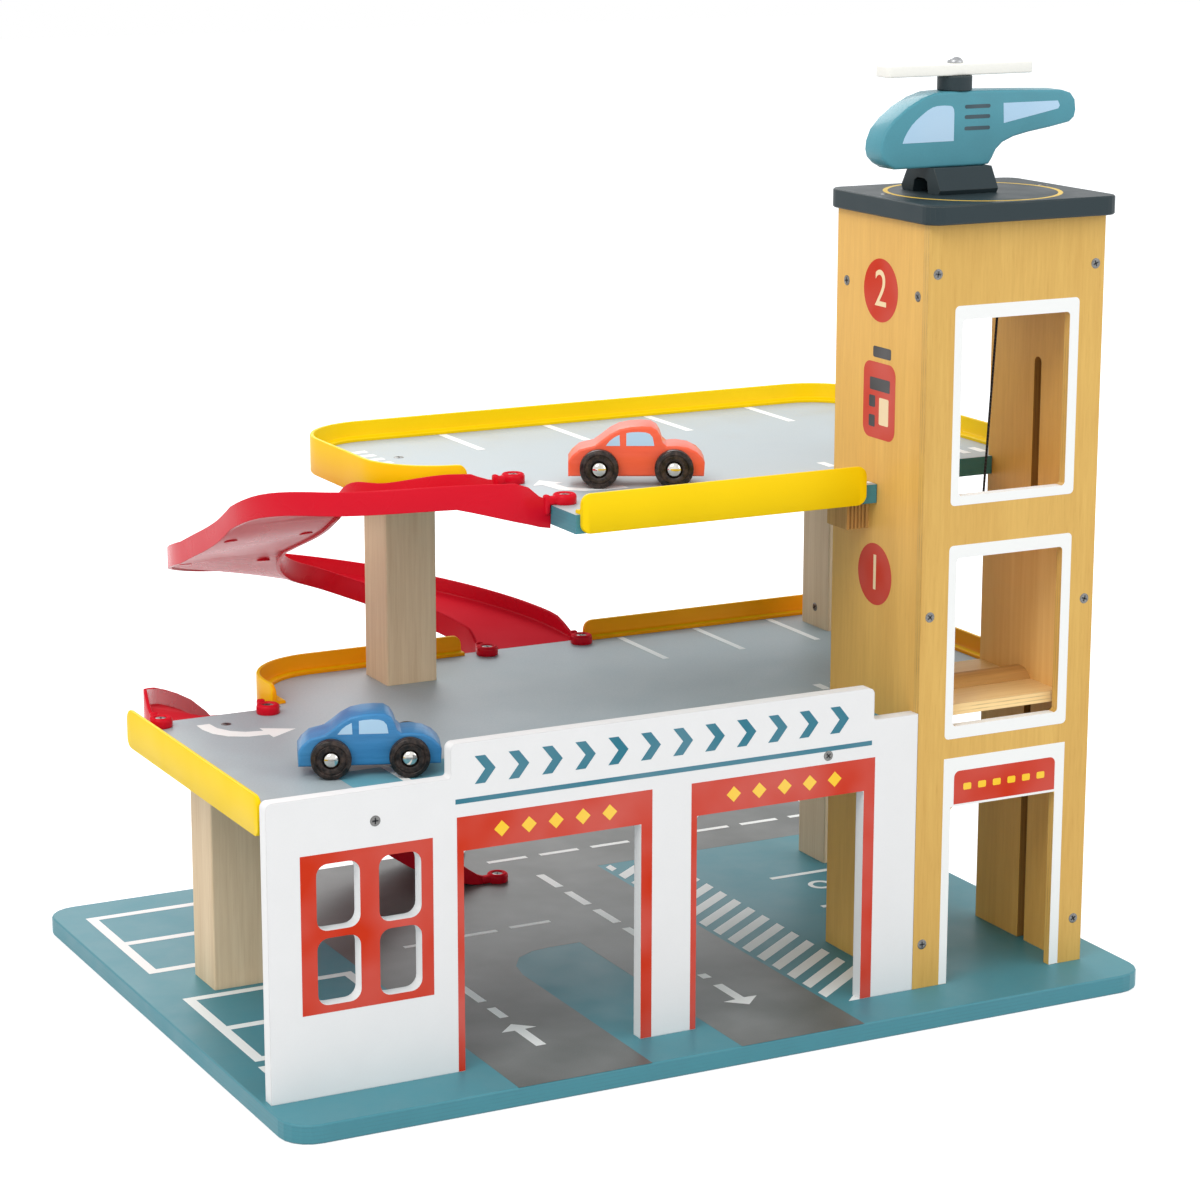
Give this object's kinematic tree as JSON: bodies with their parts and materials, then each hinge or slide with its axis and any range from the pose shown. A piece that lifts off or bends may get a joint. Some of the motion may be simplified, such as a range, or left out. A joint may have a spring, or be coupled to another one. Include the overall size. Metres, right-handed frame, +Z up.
{
  "type": "toy parking garage with lift",
  "caption": "Wooden toy parking garage: printed decks on posts, moulded ramps, a lift tower with hand winder, a helicopter and toy cars.",
  "frame": {"origin": "centre of the base board's underside, on the table", "axes": "+X along the shop front towards the lift tower, +Y away from the shop front towards the back, +Z up"},
  "size_m": [0.6, 0.5038, 0.5973],
  "materials": {
    "teal_board": "satin water paint on plywood",
    "white_board": "satin white paint on plywood",
    "deck_board": "matt grey print on teal painted plywood",
    "pale_wood": "bare sanded beech",
    "pine": "bare sanded pine",
    "rail_plastic": "satin moulded plastic",
    "ramp_plastic": "gloss moulded plastic",
    "plywood": "clear satin varnish on plywood",
    "charcoal_board": "satin charcoal paint",
    "steel_rod": "plated steel",
    "red_wood": "satin red-orange paint",
    "cord": "twisted nylon",
    "cream_wood": "satin off-white paint",
    "hub_chrome": "polished",
    "black_plastic": "semi-gloss moulded plastic",
    "blue_wood": "satin blue stain",
    "coral_wood": "satin coral paint"
  },
  "bodies": {
    "garage": {"base_board": "teal_board", "shop_front": "white_board", "deck_one": "deck_board", "deck_two": "deck_board", "post_left": "pale_wood", "post_middle": "pale_wood", "post_back_low": "pale_wood", "post_back_high": "pale_wood", "deck_cleat": "pine", "rail_one_left": "rail_plastic", "rail_one_curve": "rail_plastic", "rail_one_back": "rail_plastic", "rail_two_front": "rail_plastic", "rail_two_wrap": "rail_plastic", "ramp_upper": "ramp_plastic", "ramp_lower": "ramp_plastic", "tower_front": "plywood", "tower_left": "plywood", "tower_right": "plywood", "cross_rail_front": "pine", "cross_rail_back": "pine", "tower_roof": "charcoal_board"},
    "winder": {"winder_axle": "steel_rod", "winder_spool": "pale_wood", "winder_wheel": "red_wood", "cord_turns": "cord"},
    "lift": {"lift_floor": "plywood", "lift_wheel_stop": "pine", "lift_wall_left": "plywood", "lift_wall_right": "plywood", "lift_roof": "plywood", "lift_pin_left": "pine", "lift_pin_right": "pine", "lift_cord": "cord"},
    "helicopter": {"heli_foot": "charcoal_board", "heli_body": "teal_board", "heli_mast": "charcoal_board"},
    "rotor": {"rotor_blade": "cream_wood", "rotor_screw": "steel_rod"},
    "blue_car": {"blue_car_body": "blue_wood"},
    "blue_car_rear_wheels": {"blue_car_axle_rear": "hub_chrome", "blue_car_tyre_rear_near": "black_plastic", "blue_car_tyre_rear_far": "black_plastic"},
    "blue_car_front_wheels": {"blue_car_axle_front": "hub_chrome", "blue_car_tyre_front_near": "black_plastic", "blue_car_tyre_front_far": "black_plastic"},
    "coral_car": {"coral_car_body": "coral_wood"},
    "coral_car_rear_wheels": {"coral_car_axle_rear": "hub_chrome", "coral_car_tyre_rear_near": "black_plastic", "coral_car_tyre_rear_far": "black_plastic"},
    "coral_car_front_wheels": {"coral_car_axle_front": "hub_chrome", "coral_car_tyre_front_near": "black_plastic", "coral_car_tyre_front_far": "black_plastic"}
  },
  "joints": [
    {"name": "lift_slide", "type": "slide", "parent": "garage", "child": "lift", "axis": [0, 0, 1], "range_m": [-0.1755, 0.137], "deforming": ["lift_cord"]},
    {"name": "winder_turn", "type": "hinge", "parent": "garage", "child": "winder", "pos_m": [0.26, -0.1295, 0.457], "axis": [1, 0, 0], "range_deg": [-790, 1010]},
    {"name": "helicopter_lift_off", "type": "slide", "parent": "garage", "child": "helicopter", "axis": [0, 0, 1], "range_m": [0, 0.12]},
    {"name": "rotor_spin", "type": "hinge", "parent": "helicopter", "child": "rotor", "pos_m": [0.1994, -0.121, 0.588], "axis": [0, 0, 1], "continuous": true},
    {"name": "blue_car_roll", "type": "slide", "parent": "garage", "child": "blue_car", "axis": [0.933, -0.36, 0], "range_m": [-0.03, 0.05]},
    {"name": "blue_car_rear_wheels_turn", "type": "hinge", "parent": "blue_car", "child": "blue_car_rear_wheels", "pos_m": [-0.22022, -0.09854, 0.1954], "axis": [0.36, 0.933, 0], "range_deg": [-145, 240]},
    {"name": "blue_car_front_wheels_turn", "type": "hinge", "parent": "blue_car", "child": "blue_car_front_wheels", "pos_m": [-0.17638, -0.11546, 0.1954], "axis": [0.36, 0.933, 0], "range_deg": [-145, 240]},
    {"name": "coral_car_roll", "type": "slide", "parent": "garage", "child": "coral_car", "axis": [0.8926, -0.4509, 0], "range_m": [-0.02, 0.05]},
    {"name": "coral_car_rear_wheels_turn", "type": "hinge", "parent": "coral_car", "child": "coral_car_rear_wheels", "pos_m": [-0.01178, -0.0464, 0.3444], "axis": [0.4509, 0.8926, 0], "range_deg": [-100, 240]},
    {"name": "coral_car_front_wheels_turn", "type": "hinge", "parent": "coral_car", "child": "coral_car_front_wheels", "pos_m": [0.03018, -0.0676, 0.3444], "axis": [0.4509, 0.8926, 0], "range_deg": [-100, 240]}
  ],
  "couplings": [
    {"joint": "winder_turn", "follows": "lift_slide", "rad_per_m": -100},
    {"joint": "blue_car_rear_wheels_turn", "follows": "blue_car_roll", "rad_per_m": 80.645},
    {"joint": "blue_car_front_wheels_turn", "follows": "blue_car_roll", "rad_per_m": 80.645},
    {"joint": "coral_car_rear_wheels_turn", "follows": "coral_car_roll", "rad_per_m": 80.645},
    {"joint": "coral_car_front_wheels_turn", "follows": "coral_car_roll", "rad_per_m": 80.645}
  ]
}
